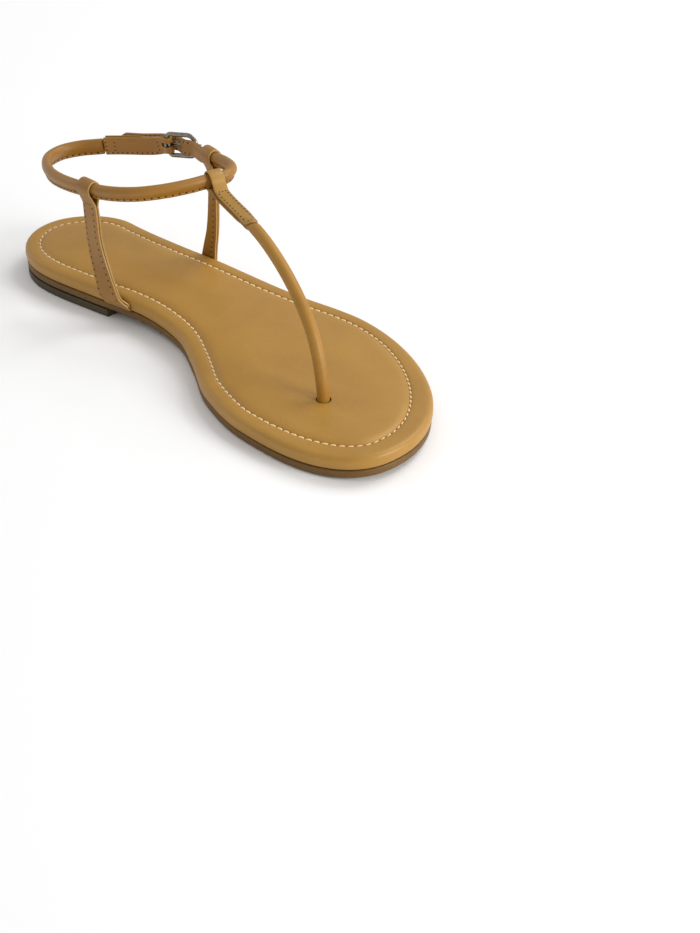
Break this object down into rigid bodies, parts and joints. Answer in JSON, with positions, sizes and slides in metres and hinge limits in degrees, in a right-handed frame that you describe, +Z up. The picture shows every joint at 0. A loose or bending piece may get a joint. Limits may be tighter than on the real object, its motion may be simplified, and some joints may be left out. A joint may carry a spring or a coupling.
{
  "type": "t strap sandal",
  "caption": "Flat left-foot leather sandal: padded stitched insole, rolled toe strap rising to a buckled ankle strap held by two side straps",
  "frame": {"origin": "on the floor, under the middle of the shoe's length and width", "axes": "+Z up, +Y from heel to toe, +X to the arch (inner) side of the left foot"},
  "size_m": [0.0948, 0.2506, 0.0728],
  "materials": {
    "heel_lift": "matt, ground edge",
    "outsole": "brown, burnished edge",
    "insole": "tan, padded, with a stitched rim",
    "toe_strap": "tan, rolled and stuffed",
    "t_tab": "tan, folded and stitched",
    "side_strap_medial": "tan, folded and stitched",
    "side_strap_lateral": "tan, folded and stitched",
    "ankle_strap": "tan, rolled round a cord, with a sewn lower edge",
    "buckle_frame": "pewter-grey plated",
    "buckle_prong": "pewter-grey plated",
    "buckle_chape": "tan, folded and stitched"
  },
  "bodies": {
    "root": {"heel_lift": "heel_lift", "outsole": "outsole", "insole": "insole", "toe_strap": "toe_strap", "t_tab": "t_tab", "side_strap_medial": "side_strap_medial", "side_strap_lateral": "side_strap_lateral", "ankle_strap": "ankle_strap", "buckle_frame": "buckle_frame", "buckle_prong": "buckle_prong", "buckle_chape": "buckle_chape"}
  },
  "joints": []
}
